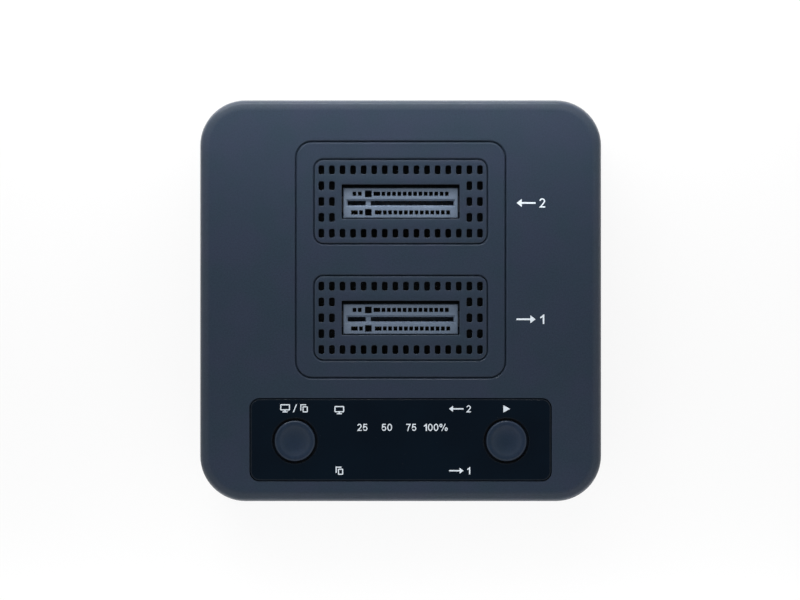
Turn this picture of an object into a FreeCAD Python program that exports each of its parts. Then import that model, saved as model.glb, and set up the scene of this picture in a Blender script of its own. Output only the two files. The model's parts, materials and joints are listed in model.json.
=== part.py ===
import FreeCAD, Part
import math
import os

# Drive duplicator: a square desk dock with two upright M.2 (M key) sockets under a vented
# slot panel, a glossy control strip with two push buttons, and its ports in the rear wall.
# Millimetres. +Z is up, +Y is the rear (the port side), and the origin is the middle of the
# footprint on the surface that the feet stand on.

V = FreeCAD.Vector
Y_AXIS = V(0, 1, 0)
Z_AXIS = V(0, 0, 1)

# ---------------------------------------------------------------- clearances
FIT = 0.1            # a piece set into another by hand
SEAM = 0.15          # open joint round the slot panel and the bezels
RUNNING = 0.2        # round a piece that slides
TOUCH_GAP = 0.05     # between a moving piece and the stop that it rests on
SLIVER = 0.01        # what counts as the same place

# ---------------------------------------------------------------- card sockets
CONTACT_PITCH = 0.5                       # along one row
ROW_STEPS = 37                            # pitches from the first to the last contact of a row
SLOT_END = 0.78                           # slot past the last contact
SOCKET_END = 0.87                         # wall at each end of the slot
SOCKET_D = 5.75
SOCKET_H = 8.8                            # above the board
SOCKET_RECESS = 1.2                       # socket face below the top of the case
SOCKET_EDGE = 0.15                        # chamfer round the socket face
SLOT_T = 0.85                             # takes a 0.8 mm card edge
SLOT_DEPTH = 5.6
LEAD_IN = 0.35                            # how far the slot's mouth widens on every side
LEAD_IN_DEPTH = 0.45
KEY_STEPS = -12.25                        # middle of the key, in pitches from the middle
KEY_T = 0.95
WINDOW_ROW = 1.77                         # window row from the middle of the slot
WINDOW_W = 0.72
WINDOW_D = 0.8
WIDE_WINDOW_W = 1.27                      # a window over two contacts, or at the key
KEY_WINDOW_D = 1.3
FACE_T = 1.2                              # socket face above its contact chambers
CHAMBER_IN = 0.85                         # contact chamber, from the middle of the slot
CHAMBER_OUT = 2.3
CHAMBER_END = 0.35                        # chamber past the last contact
BAND_LOW = 0.2                            # opening from chamber to slot, above the slot floor
BAND_HIGH = 3.4
APEX_HEIGHT = 2.2                         # where the contacts meet the card, above the slot floor
CONTACT_W = 0.22
CONTACT_T = 0.15
CONTACT_BASE_Y = 2.1                      # where a contact stands on the board
CONTACT_APEX_Y = 0.33
CONTACT_TIP_Y = 1.6
HOLD_DOWN_W = 3.0
HOLD_DOWN_H = 2.4
HOLD_DOWN_FOOT = 1.1
SHEET_T = 0.2                             # small sheet-metal pieces

# Middles of the windows in the socket face, in contact pitches from the middle
REAR_SINGLES = [17.5 - 2 * n for n in range(13)] + [-15.5, -17.5]
REAR_WIDE = [-9.0]
FRONT_SINGLES = [18.0 - 2 * n for n in range(13)] + [-15.0]
FRONT_WIDE = [-8.5, -17.5]

# ---------------------------------------------------------------- bezels and slot panel
VENT_COLUMNS = 16
VENT_ROWS = 5
VENT_PITCH_X = 2.0
VENT_PITCH_Y = 3.0
VENT_W = 1.05
VENT_D = 1.6
VENT_EDGE_X = 0.78                        # bezel outside the last column
VENT_EDGE_Y = 1.1
VENT_CLEAR = 0.6                          # least web between a vent and the socket opening
SOCKET_GAP_X = 0.25                       # bezel opening round the socket
SOCKET_GAP_FRONT = 0.12
SOCKET_GAP_REAR = 0.63
BEZEL_T = 1.2
BEZEL_CORNER_R = 1.7
BEZEL_LEDGE = 0.6                         # what the bezel rests on
BEZEL_PITCH = 22.0                        # from one socket bay to the next
PANEL_MARGIN_X = 3.45                     # panel outside its bezels
PANEL_MARGIN_Y = 3.35
PANEL_CORNER_R = 3.0
PANEL_T = 1.2                             # flange that rests on the cover
PANEL_LEDGE = 1.5                         # width of that flange
PANEL_BODY_T = 3.0                        # whole thickness
SNAP_W = 5.0
SNAP_REACH = 0.8
SNAP_PITCH = 24.0
EDGE_BREAK = 0.25                         # chamfer along both sides of every open joint

# ---------------------------------------------------------------- control strip
LENS_W = 57.0
LENS_D = 15.6
LENS_T = 1.0
LENS_CORNER_R = 1.8
LENS_EDGE = 0.2
TAPE_T = 0.15
TAPE_INSET = 0.3
LENS_FLOOR_T = 1.05                       # cover left under the lens
BUTTON_R = 3.83
BUTTON_HOLE_R = 4.3
BUTTON_EDGE_X = 8.5                       # button axis from the lens end
BUTTON_SHIFT_Y = -0.2                     # button axis from the middle of the lens
BUTTON_PROUD = 0.6                        # above the top of the case
BUTTON_DISH = 0.45                        # depth of the finger dish
BUTTON_DISH_R = 1.6                       # flat floor of the dish
BUTTON_RIM = 0.35                         # flat rim round the dish
BUTTON_EDGE = 0.3
BUTTON_FLANGE = 10.4                      # square stop flange under the cover
BUTTON_FLANGE_T = 0.8
STEM_SIDE = 2.6
BUTTON_TRAVEL = 0.3
LIGHT_W = 1.6                             # light tunnel, one over each lamp
LIGHT_D = 1.2
LAMP_COLUMN_X = 8.4                       # lamp columns inward of the button axes
LAMP_COLUMN_PITCH = 5.1
PROGRESS_X = -0.35                        # middle of the progress lamps
PROGRESS_PITCH = 4.63
PROGRESS_LAMPS = 4
PROGRESS_SHIFT_Y = -1.7
LIGHT_BLOCK_WALL = 1.2
LAMP_W = 1.2
LAMP_D = 0.8
LAMP_H = 0.6

# ---------------------------------------------------------------- case
PANEL_REAR = 8.0                          # top face behind the slot panel
STRIP_GAP = 4.0                           # top face between panel and lens
STRIP_FRONT = 3.9                         # top face in front of the lens
STRIP_SIDE = 9.5                          # top face beside the lens
CORNER_R = 8.6
TOP_EDGE_R = 2.0
BASE_EDGE = 0.9                           # chamfer under the case
WALL = 2.0
FLOOR_T = 2.0
SKIRT_H = 3.0                             # outer wall of the bottom cover
LIP_H = 1.2                               # inner rails that locate the top cover
LIP_T = 0.9
LIP_GAP = 1.0                             # rear rail to the power jack
LIP_END = 10.0                            # rail ends from the outside corners of the case
RIB_T = 1.2
RIB_H = 1.2
FOOT_R = 4.5
FOOT_T = 1.5
SCREW_INSET = 9.5                         # case screws from the case sides
TOP_BOSS = 6.4                            # square bosses round the screws
BASE_BOSS = 7.4
SCREW_SEAT_T = 3.0                        # bottom cover between screw head and board
SCREW_SHANK_R = 1.2
SCREW_HEAD_R = 2.2
SCREW_HEAD_T = 1.5
SCREW_L = 10.0
ROUND_SIDES = 12                          # small round work inside the case is this many-sided

# ---------------------------------------------------------------- main board and what it carries
BOARD_T = 1.6
BOARD_GAP = 1.5                           # board to the case walls
BOARD_CORNER = 3.5

JACK_GAP = 2.3                            # from a screw boss to the jack
JACK_W = 9.0
JACK_D = 14.2
JACK_H = 11.0
JACK_BORE_R = 3.15
JACK_BORE_DEPTH = 10.5
JACK_AXIS = 6.5                           # below the board
JACK_PIN_R = 1.0
JACK_ROOT = 1.4                           # square root of the pin, through the back wall
JACK_PIN_BACK = 1.0                       # pin tip behind the jack's face
JACK_HOLE_R = 4.0                         # in the rear wall
JACK_EDGE = 0.6
JACK_SPRING_W = 2.2
JACK_SPRING_T = 0.3
JACK_SPRING_FLAT = 3.0                    # along the leaf: where it starts to rise,
JACK_SPRING_CREST = 6.0                   # its highest point,
JACK_SPRING_L = 8.5                       # and its tip
JACK_SPRING_RISE = 0.35
JACK_CHANNEL_FRONT = 1.5                  # channel end behind the jack's face
JACK_ROOM = 1.9                           # under the jack

USB_X = 0.0
USB_W = 8.94
USB_H = 3.26
USB_D = 7.35
USB_R = 1.6
USB_SHEET = 0.3
USB_RECESS = 0.4                          # behind the outside of the rear wall
USB_BACK = 1.8
USB_TONGUE_W = 6.7
USB_TONGUE_T = 0.7
USB_TONGUE_L = 4.5
USB_PAD_BACK = 0.8                        # from the tongue's root
USB_PAD_W = 0.25
USB_PAD_L = 3.0
USB_PAD_T = 0.05
USB_PADS = 12

SWITCH_GAP = 2.55                         # from a screw boss to the power switch
SWITCH_W = 8.5
SWITCH_D = 11.0
SWITCH_H = 8.5
SHAFT_SIDE = 3.0
SHAFT_IN_BODY = 4.0
SHAFT_IN_CAP = 2.4
POWER_CAP_W = 8.0
POWER_CAP_H = 5.0
POWER_CAP_R = 2.3
POWER_CAP_L = 4.8
POWER_CAP_EDGE = 0.4
POWER_RECESS = 0.2                        # behind the outside of the rear wall
POWER_FLANGE = 0.8
POWER_FLANGE_T = 0.8
POWER_TRAVEL = 1.5
POWER_STOP_GAP = 0.5                      # left between cap and switch at full travel

TACT_SIDE = 6.0
TACT_BODY_H = 3.3
TACT_H = 4.3                              # to the top of its plunger
TACT_PLUNGER_R = 1.7
TACT_PLUNGER_IN = 1.5                     # plunger inside the switch
TACT_FLOOR_GAP = 0.15                     # under the plunger at full travel
TACT_LEAD_W = 0.7
TACT_LEAD_H = 1.6
TACT_LEAD_FOOT = 0.9
TACT_LEAD_X = 2.22                        # from the middle of the switch

CHIP_H = 0.9
BRIDGE_SIDE = 9.0
BRIDGE_GAP = 6.6                          # from a socket's end
CONTROLLER_SIDE = 10.0
CONTROLLER_GAP = 7.1                      # from a socket's end
CONTROLLER_SHIFT_Y = -2.75                # from the middle of the slot panel
CRYSTAL = (3.2, 2.5, 0.8)
CRYSTAL_GAP = 2.0                         # from the chip that it clocks
FLASH = (5.2, 4.0, 1.6)
FLASH_LEAD_W = 0.4
FLASH_LEAD_PITCH = 1.27
FLASH_LEAD_H = 0.6                        # where a lead leaves the body, above its underside
FLASH_LEAD_IN = 0.3                       # lead inside the body
FLASH_LEAD_KNEE = 0.5                     # from the body to the lead's bend
FLASH_LEAD = 1.1                          # how far its leads reach past the body
INDUCTOR_SIDE = 6.6
INDUCTOR_H = 3.0
INDUCTOR_CHAMFER = 1.2
INDUCTOR_GAP = 1.5                        # from a screw boss
INDUCTOR_PITCH = 8.0
INDUCTOR_SHIFT_Y = -2.0                   # first one from the middle of the target socket
CAN_R = 3.15
CAN_H = 5.4
CAN_BASE_T = 0.8
CAN_BASE_MARGIN = 0.15                    # base outside the can
CAN_SHIFT_X = 5.0                         # from the middle of the bridge chips
CAN_REAR = 6.0                            # rear can from the board's rear edge
REGULATOR = (6.5, 3.5, 1.6)
REGULATOR_PITCH = 10.0
REGULATOR_REAR = 5.0                      # from the board's rear edge
CERAMIC = (2.0, 1.25, 1.0)
CERAMIC_PITCH = 4.0
CERAMICS = 5
CERAMIC_ROW_GAP = 3.0                     # row in front of each socket

# ---------------------------------------------------------------- sizes that follow
ROW_SPAN = ROW_STEPS * CONTACT_PITCH
SLOT_W = ROW_SPAN + 2 * SLOT_END
SOCKET_W = SLOT_W + 2 * SOCKET_END
KEY_X = KEY_STEPS * CONTACT_PITCH
OPENING_W = SOCKET_W + 2 * SOCKET_GAP_X
OPENING_D = SOCKET_D + SOCKET_GAP_FRONT + SOCKET_GAP_REAR
BEZEL_W = (VENT_COLUMNS - 1) * VENT_PITCH_X + VENT_W + 2 * VENT_EDGE_X
BEZEL_D = (VENT_ROWS - 1) * VENT_PITCH_Y + VENT_D + 2 * VENT_EDGE_Y
PANEL_W = BEZEL_W + 2 * PANEL_MARGIN_X
PANEL_D = BEZEL_PITCH + BEZEL_D + 2 * PANEL_MARGIN_Y

CASE_W = LENS_W + 2 * STRIP_SIDE
CASE_D = PANEL_REAR + PANEL_D + STRIP_GAP + LENS_D + STRIP_FRONT
CAVITY_W = CASE_W - 2 * WALL
CAVITY_D = CASE_D - 2 * WALL
FRONT_Y = -CASE_D / 2
REAR_Y = CASE_D / 2
REAR_INNER_Y = REAR_Y - WALL
LENS_Y = FRONT_Y + STRIP_FRONT + LENS_D / 2
PANEL_Y = REAR_Y - PANEL_REAR - PANEL_D / 2
BEZEL_YS = {"source": PANEL_Y - BEZEL_PITCH / 2, "target": PANEL_Y + BEZEL_PITCH / 2}
SOCKET_SHIFT_Y = (SOCKET_GAP_FRONT - SOCKET_GAP_REAR) / 2
SOCKET_YS = {bay: y + SOCKET_SHIFT_Y for bay, y in BEZEL_YS.items()}
BUTTON_X = LENS_W / 2 - BUTTON_EDGE_X
BUTTON_Y = LENS_Y + BUTTON_SHIFT_Y
BUTTON_XS = {"mode": -BUTTON_X, "start": BUTTON_X}

BASE_Z = FOOT_T                           # underside of the bottom cover
FLOOR_Z = BASE_Z + FLOOR_T
SPLIT_Z = BASE_Z + SKIRT_H                # joint between the two covers
BOARD_Z = FLOOR_Z + JACK_ROOM + JACK_H    # underside of the board
BOARD_TOP_Z = BOARD_Z + BOARD_T
SOCKET_TOP_Z = BOARD_TOP_Z + SOCKET_H
TOP_Z = SOCKET_TOP_Z + SOCKET_RECESS
LENS_SEAT_Z = TOP_Z - LENS_T - TAPE_T
CEILING_Z = LENS_SEAT_Z - LENS_FLOOR_T    # inside of the top wall
PANEL_SEAT_Z = TOP_Z - PANEL_T
BEZEL_SEAT_Z = TOP_Z - BEZEL_T
PANEL_BOTTOM_Z = TOP_Z - PANEL_BODY_T
SCREW_SEAT_Z = BOARD_Z - SCREW_SEAT_T     # under the screw heads

SCREW_X = CASE_W / 2 - SCREW_INSET
SCREW_Y = CASE_D / 2 - SCREW_INSET
SCREWS = [(x, y) for x in (-SCREW_X, SCREW_X) for y in (-SCREW_Y, SCREW_Y)]

LAMP_X = BUTTON_X - LAMP_COLUMN_X
PROGRESS_START = PROGRESS_X - (PROGRESS_LAMPS - 1) * PROGRESS_PITCH / 2
LAMPS = [(x, LENS_Y + side * LAMP_COLUMN_PITCH / 2) for x in (-LAMP_X, LAMP_X) for side in (-1, 1)]
LAMPS += [(PROGRESS_START + n * PROGRESS_PITCH, LENS_Y + PROGRESS_SHIFT_Y) for n in range(PROGRESS_LAMPS)]
LIGHT_BLOCK_W = 2 * LAMP_X + LIGHT_W + 2 * LIGHT_BLOCK_WALL
LIGHT_BLOCK_D = LAMP_COLUMN_PITCH + LIGHT_D + 2 * LIGHT_BLOCK_WALL

JACK_X = SCREW_X - BASE_BOSS / 2 - JACK_GAP - JACK_W / 2
JACK_FACE_Y = REAR_INNER_Y - FIT
JACK_AXIS_Z = BOARD_Z - JACK_AXIS
USB_AXIS_Z = BOARD_Z - USB_H / 2
USB_FACE_Y = REAR_Y - USB_RECESS
SWITCH_X = SWITCH_W / 2 + SWITCH_GAP + BASE_BOSS / 2 - SCREW_X
SHAFT_Z = BOARD_Z - SWITCH_H / 2
POWER_FACE_Y = REAR_Y - POWER_RECESS
POWER_BACK_Y = POWER_FACE_Y - POWER_CAP_L
SWITCH_FACE_Y = POWER_BACK_Y - POWER_TRAVEL - POWER_STOP_GAP
TACT_TOP_Z = BOARD_TOP_Z + TACT_H
BOARD_W = CAVITY_W - 2 * BOARD_GAP
BOARD_D = CAVITY_D - 2 * BOARD_GAP
BRIDGE_X = -(SOCKET_W / 2 + BRIDGE_GAP + BRIDGE_SIDE / 2)
CONTROLLER_X = SOCKET_W / 2 + CONTROLLER_GAP + CONTROLLER_SIDE / 2
CONTROLLER_Y = PANEL_Y + CONTROLLER_SHIFT_Y
INDUCTOR_X = SCREW_X - TOP_BOSS / 2 - INDUCTOR_GAP - INDUCTOR_SIDE / 2
INDUCTOR_Y = SOCKET_YS["target"] + INDUCTOR_SHIFT_Y
INDUCTORS = [(INDUCTOR_X, INDUCTOR_Y), (INDUCTOR_X, INDUCTOR_Y + INDUCTOR_PITCH)]
CANS = [(BRIDGE_X - CAN_SHIFT_X, PANEL_Y), (BRIDGE_X + CAN_SHIFT_X, BOARD_D / 2 - CAN_REAR)]
REGULATORS = [(0.0, BOARD_D / 2 - REGULATOR_REAR), (REGULATOR_PITCH, BOARD_D / 2 - REGULATOR_REAR)]
CONTROLLER_CRYSTAL_Y = CONTROLLER_Y - CONTROLLER_SIDE / 2 - CRYSTAL_GAP - CRYSTAL[1] / 2
FLASH_Y = CONTROLLER_CRYSTAL_Y - CRYSTAL[1] / 2 - CRYSTAL_GAP - FLASH_LEAD - FLASH[1] / 2


# ---------------------------------------------------------------- shapes used throughout
def block(x0, x1, y0, y1, z0, z1):
    """A box between two corners."""
    return Part.makeBox(x1 - x0, y1 - y0, z1 - z0, V(x0, y0, z0))


def centred(width, depth, z0, z1, x=0.0, y=0.0):
    """An upright box about x, y."""
    return block(x - width / 2, x + width / 2, y - depth / 2, y + depth / 2, z0, z1)


def edges_along(solid, axis):
    """The edges of a box that run along an axis."""
    return [e for e in solid.Edges if abs(e.tangentAt(e.FirstParameter).dot(axis)) > 1 - SLIVER]


def rounded(solid, radius, axis=Z_AXIS):
    """Rounds the edges of a box that run along an axis."""
    return solid.makeFillet(radius, edges_along(solid, axis))


def plate(width, depth, z0, z1, radius, x=0.0, y=0.0):
    """An upright prism with a rounded rectangular outline."""
    return rounded(centred(width, depth, z0, z1, x, y), radius)


def post(radius, z0, z1, x=0.0, y=0.0):
    """An upright cylinder."""
    return Part.makeCylinder(radius, z1 - z0, V(x, y, z0))


def small_round(radius, z0, z1, x=0.0, y=0.0):
    """An upright many-sided prism, for small round work that the case hides."""
    corners = []
    for n in range(ROUND_SIDES):
        turn = 2 * math.pi * (n + 0.5) / ROUND_SIDES
        corners.append(V(x + radius * math.cos(turn), y + radius * math.sin(turn), z0))
    return Part.Face(Part.makePolygon(corners + corners[:1])).extrude(V(0, 0, z1 - z0))


def edges_at(solid, z):
    """The edges that lie wholly at one height."""
    return [e for e in solid.Edges if e.BoundBox.ZMin > z - SLIVER and e.BoundBox.ZMax < z + SLIVER]


def strip(path, thickness, width, x):
    """Sheet metal bent along a path of y, z points, centred on x."""
    points = [V(0, y, z) for y, z in path]
    runs = [(b - a).normalize() for a, b in zip(points, points[1:])]
    left, right = [], []
    for n, point in enumerate(points):
        before = runs[max(n - 1, 0)]
        after = runs[min(n, len(runs) - 1)]
        along = (before + after).normalize()
        across = V(0, -along.z, along.y)
        reach = thickness / 2 / across.dot(V(0, -after.z, after.y))
        left.append(point + across * reach)
        right.append(point - across * reach)
    outline = left + right[::-1]
    face = Part.Face(Part.makePolygon(outline + outline[:1]))
    solid = face.extrude(V(width, 0, 0))
    solid.translate(V(x - width / 2, 0, 0))
    return solid


def group(solids):
    """Separate solids that share one node."""
    return Part.makeCompound(list(solids))


# ---------------------------------------------------------------- case
def top_cover():
    outer = plate(CASE_W, CASE_D, SPLIT_Z, TOP_Z, CORNER_R)
    outer = outer.makeFillet(TOP_EDGE_R, edges_at(outer, TOP_Z))
    cover = outer.cut(plate(CAVITY_W, CAVITY_D, SPLIT_Z, CEILING_Z, CORNER_R - WALL))
    cover = cover.fuse([centred(TOP_BOSS, TOP_BOSS, BOARD_TOP_Z, CEILING_Z, x, y) for x, y in SCREWS])

    pilot_end = SCREW_SEAT_Z + SCREW_L + FIT
    cuts = [small_round(SCREW_SHANK_R, BOARD_TOP_Z, pilot_end, x, y) for x, y in SCREWS]

    cuts.append(flush_seat(PANEL_W, PANEL_D, PANEL_SEAT_Z, PANEL_CORNER_R, PANEL_Y))
    window_w = PANEL_W - 2 * PANEL_LEDGE + 2 * FIT
    window_d = PANEL_D - 2 * PANEL_LEDGE + 2 * FIT
    cuts.append(centred(window_w, window_d, CEILING_Z, PANEL_SEAT_Z, 0.0, PANEL_Y))

    seat_w = LENS_W + 2 * FIT
    seat_d = LENS_D + 2 * FIT
    cuts.append(plate(seat_w, seat_d, LENS_SEAT_Z, TOP_Z, LENS_CORNER_R + FIT, 0.0, LENS_Y))
    cuts += [post(BUTTON_HOLE_R, CEILING_Z, LENS_SEAT_Z, x, BUTTON_Y) for x in BUTTON_XS.values()]
    light_w = LIGHT_BLOCK_W + 2 * FIT
    light_d = LIGHT_BLOCK_D + 2 * FIT
    cuts.append(centred(light_w, light_d, CEILING_Z, LENS_SEAT_Z, 0.0, LENS_Y))

    cuts.append(Part.makeCylinder(JACK_HOLE_R, WALL, V(JACK_X, REAR_INNER_Y, JACK_AXIS_Z), Y_AXIS))
    cuts.append(wall_hole(USB_X, USB_AXIS_Z, USB_W, USB_H, USB_R))
    cuts.append(wall_hole(SWITCH_X, SHAFT_Z, POWER_CAP_W, POWER_CAP_H, POWER_CAP_R))
    return break_rim(cover.cut(cuts), PANEL_W + 2 * SEAM, PANEL_D + 2 * SEAM, PANEL_Y)


def flush_seat(width, depth, z0, radius, y):
    """A cutter for the seat of a piece that lies flush with the top, open joint included."""
    return plate(width + 2 * SEAM, depth + 2 * SEAM, z0, TOP_Z, radius + SEAM, 0.0, y)


def break_rim(solid, width, depth, y):
    """Breaks the top edges of an opening of this size about 0, y."""
    rim = []
    for edge in edges_at(solid, TOP_Z):
        centre = edge.BoundBox.Center
        if abs(centre.x) < width / 2 + SLIVER and abs(centre.y - y) < depth / 2 + SLIVER:
            rim.append(edge)
    return solid.makeChamfer(EDGE_BREAK, rim)


def wall_hole(x, z, width, height, radius):
    """A cutter for a rounded opening through the rear wall, with running room round what fills it."""
    half_w = width / 2 + RUNNING
    half_h = height / 2 + RUNNING
    hole = block(x - half_w, x + half_w, REAR_INNER_Y, REAR_Y, z - half_h, z + half_h)
    return rounded(hole, radius + RUNNING, Y_AXIS)


def bottom_cover():
    tray = plate(CASE_W, CASE_D, BASE_Z, SPLIT_Z, CORNER_R)
    tray = tray.makeChamfer(BASE_EDGE, edges_at(tray, BASE_Z))
    tray = tray.cut(plate(CAVITY_W, CAVITY_D, FLOOR_Z, SPLIT_Z, CORNER_R - WALL))

    added = [centred(BASE_BOSS, BASE_BOSS, FLOOR_Z, BOARD_Z - TOUCH_GAP, x, y) for x, y in SCREWS]
    lip_top = SPLIT_Z + LIP_H
    rail_x = CAVITY_W / 2 - FIT - LIP_T / 2
    rail_y = CAVITY_D / 2 - FIT - LIP_T / 2
    side_l = CASE_D - 2 * LIP_END
    front_l = CASE_W - 2 * LIP_END
    added += [centred(LIP_T, side_l, FLOOR_Z, lip_top, x, 0.0) for x in (-rail_x, rail_x)]
    added.append(centred(front_l, LIP_T, FLOOR_Z, lip_top, 0.0, -rail_y))
    rear_l = JACK_X - JACK_W / 2 - LIP_GAP - (LIP_END - CASE_W / 2)
    added.append(centred(rear_l, LIP_T, FLOOR_Z, lip_top, LIP_END - CASE_W / 2 + rear_l / 2, rail_y))

    added += [centred(RIB_T, CAVITY_D, FLOOR_Z, FLOOR_Z + RIB_H, x, 0.0) for x in (-JACK_X, JACK_X)]
    tray = tray.fuse(added)

    cuts = [small_round(SCREW_HEAD_R + FIT, BASE_Z, SCREW_SEAT_Z, x, y) for x, y in SCREWS]
    cuts += [small_round(SCREW_SHANK_R + FIT, SCREW_SEAT_Z, BOARD_Z, x, y) for x, y in SCREWS]
    return tray.cut(cuts)


def rubber_feet():
    return group(post(FOOT_R, 0.0, FOOT_T, x, y) for x, y in SCREWS)


def case_screws():
    """Screws that clamp the board between the bosses of the two covers."""
    screws = []
    for x, y in SCREWS:
        head = small_round(SCREW_HEAD_R, SCREW_SEAT_Z - SCREW_HEAD_T, SCREW_SEAT_Z, x, y)
        screws.append(head.fuse(small_round(SCREW_SHANK_R, SCREW_SEAT_Z, SCREW_SEAT_Z + SCREW_L, x, y)))
    return group(screws)


# ---------------------------------------------------------------- slot panel and bezels
def slot_panel():
    flange = plate(PANEL_W, PANEL_D, PANEL_SEAT_Z, TOP_Z, PANEL_CORNER_R, 0.0, PANEL_Y)
    flange = flange.makeChamfer(EDGE_BREAK, edges_at(flange, TOP_Z))
    body_w = PANEL_W - 2 * PANEL_LEDGE
    body = centred(body_w, PANEL_D - 2 * PANEL_LEDGE, PANEL_BOTTOM_Z, PANEL_SEAT_Z, 0.0, PANEL_Y)
    snaps = []
    for side in (-1, 1):
        for end in (-1, 1):
            x = side * (body_w / 2 + SNAP_REACH / 2)
            y = PANEL_Y + end * SNAP_PITCH / 2
            snaps.append(centred(SNAP_REACH, SNAP_W, PANEL_BOTTOM_Z, CEILING_Z - TOUCH_GAP, x, y))
    panel = flange.fuse([body] + snaps)

    cuts = []
    for y in BEZEL_YS.values():
        cuts.append(flush_seat(BEZEL_W, BEZEL_D, BEZEL_SEAT_Z, BEZEL_CORNER_R, y))
        well_w = BEZEL_W - 2 * BEZEL_LEDGE
        cuts.append(centred(well_w, BEZEL_D - 2 * BEZEL_LEDGE, PANEL_BOTTOM_Z, BEZEL_SEAT_Z, 0.0, y))
    panel = panel.cut(cuts)
    for y in BEZEL_YS.values():
        panel = break_rim(panel, BEZEL_W + 2 * SEAM, BEZEL_D + 2 * SEAM, y)
    return panel


def vent_places():
    """Vent middles from the middle of the bezel, leaving out those at the socket opening."""
    places = []
    for column in range(VENT_COLUMNS):
        x = (column - (VENT_COLUMNS - 1) / 2) * VENT_PITCH_X
        for row in range(VENT_ROWS):
            y = (row - (VENT_ROWS - 1) / 2) * VENT_PITCH_Y
            beside = abs(x) - VENT_W / 2 > OPENING_W / 2 + VENT_CLEAR
            beyond = abs(y) - VENT_D / 2 > OPENING_D / 2 + VENT_CLEAR
            if beside or beyond:
                places.append((x, y))
    return places


def bezel(bay):
    y = BEZEL_YS[bay]
    solid = plate(BEZEL_W, BEZEL_D, BEZEL_SEAT_Z, TOP_Z, BEZEL_CORNER_R, 0.0, y)
    solid = solid.makeChamfer(EDGE_BREAK, edges_at(solid, TOP_Z))
    solid = solid.cut(centred(OPENING_W, OPENING_D, BEZEL_SEAT_Z, TOP_Z, 0.0, y))
    solid = break_rim(solid, OPENING_W, OPENING_D, y)
    return solid.cut([centred(VENT_W, VENT_D, BEZEL_SEAT_Z, TOP_Z, x, y + dy) for x, dy in vent_places()])


# ---------------------------------------------------------------- card sockets
def slot_cutter(y):
    """The card slot with its widened mouth."""
    slot = centred(SLOT_W, SLOT_T, SOCKET_TOP_Z - SLOT_DEPTH, SOCKET_TOP_Z, 0.0, y)
    rims = []
    for grow, z in ((0.0, SOCKET_TOP_Z - LEAD_IN_DEPTH), (2 * LEAD_IN, SOCKET_TOP_Z)):
        w = (SLOT_W + grow) / 2
        d = (SLOT_T + grow) / 2
        corners = [V(-w, y - d, z), V(w, y - d, z), V(w, y + d, z), V(-w, y + d, z)]
        rims.append(Part.makePolygon(corners + corners[:1]))
    return slot.fuse(Part.makeLoft(rims, True))


def socket_windows(y):
    """Cutters for the windows in the socket face, above the contacts and at the key."""
    bottom = SOCKET_TOP_Z - FACE_T
    windows = []
    for side, singles, wide in ((1, REAR_SINGLES, REAR_WIDE), (-1, FRONT_SINGLES, FRONT_WIDE)):
        row_y = y + side * WINDOW_ROW
        kinds = [(n, WINDOW_W, WINDOW_D) for n in singles]
        kinds += [(n, WIDE_WINDOW_W, WINDOW_D) for n in wide]
        kinds += [(KEY_STEPS, WIDE_WINDOW_W, KEY_WINDOW_D)]
        for steps, width, depth in kinds:
            windows.append(centred(width, depth, bottom, SOCKET_TOP_Z, steps * CONTACT_PITCH, row_y))
    return windows


def socket(bay):
    y = SOCKET_YS[bay]
    housing = centred(SOCKET_W, SOCKET_D, BOARD_TOP_Z, SOCKET_TOP_Z, 0.0, y)
    housing = housing.makeChamfer(SOCKET_EDGE, edges_at(housing, SOCKET_TOP_Z))
    floor_z = SOCKET_TOP_Z - SLOT_DEPTH
    cuts = [slot_cutter(y)]
    half = ROW_SPAN / 2 + CHAMBER_END
    for side in (-1, 1):
        near, far = sorted((y + side * CHAMBER_IN, y + side * CHAMBER_OUT))
        cuts.append(block(-half, half, near, far, BOARD_TOP_Z, SOCKET_TOP_Z - FACE_T))
    cuts.append(centred(2 * half, 2 * CHAMBER_IN, floor_z + BAND_LOW, floor_z + BAND_HIGH, 0.0, y))
    housing = housing.cut(cuts + socket_windows(y))
    key_top = SOCKET_TOP_Z - LEAD_IN_DEPTH
    return housing.fuse(centred(KEY_T, SLOT_T, floor_z, key_top, KEY_X, y)).removeSplitter()


def contacts(bay):
    """The spring contacts loaded from the face, seen in its windows. Each bows into the slot."""
    middle = SOCKET_YS[bay]
    apex_z = SOCKET_TOP_Z - SLOT_DEPTH + APEX_HEIGHT
    tip_z = SOCKET_TOP_Z - FACE_T - CONTACT_T
    springs = []
    for side, singles, wide in ((1, REAR_SINGLES, REAR_WIDE), (-1, FRONT_SINGLES, FRONT_WIDE)):
        path = [(CONTACT_BASE_Y, BOARD_TOP_Z), (CONTACT_APEX_Y, apex_z), (CONTACT_TIP_Y, tip_z)]
        path = [(middle + side * y, z) for y, z in path]
        pairs = [n + half for n in wide for half in (-0.5, 0.5)]
        for steps in singles + pairs:
            spring = strip(path, CONTACT_T, CONTACT_W, steps * CONTACT_PITCH)
            springs.append(spring.cut(centred(SOCKET_W, SOCKET_D, BOARD_Z, BOARD_TOP_Z, 0.0, middle)))
    return group(springs)


def hold_downs():
    """Sheet-metal feet that hold the sockets' ends to the board."""
    tabs = []
    for y in SOCKET_YS.values():
        for side in (-1, 1):
            inner, outer = sorted((side * SOCKET_W / 2, side * (SOCKET_W / 2 + SHEET_T)))
            half = HOLD_DOWN_W / 2
            wall = block(inner, outer, y - half, y + half, BOARD_TOP_Z, BOARD_TOP_Z + HOLD_DOWN_H)
            inner, outer = sorted((side * SOCKET_W / 2, side * (SOCKET_W / 2 + HOLD_DOWN_FOOT)))
            foot = block(inner, outer, y - half, y + half, BOARD_TOP_Z, BOARD_TOP_Z + SHEET_T)
            tabs.append(wall.fuse(foot).removeSplitter())
    return group(tabs)


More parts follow.
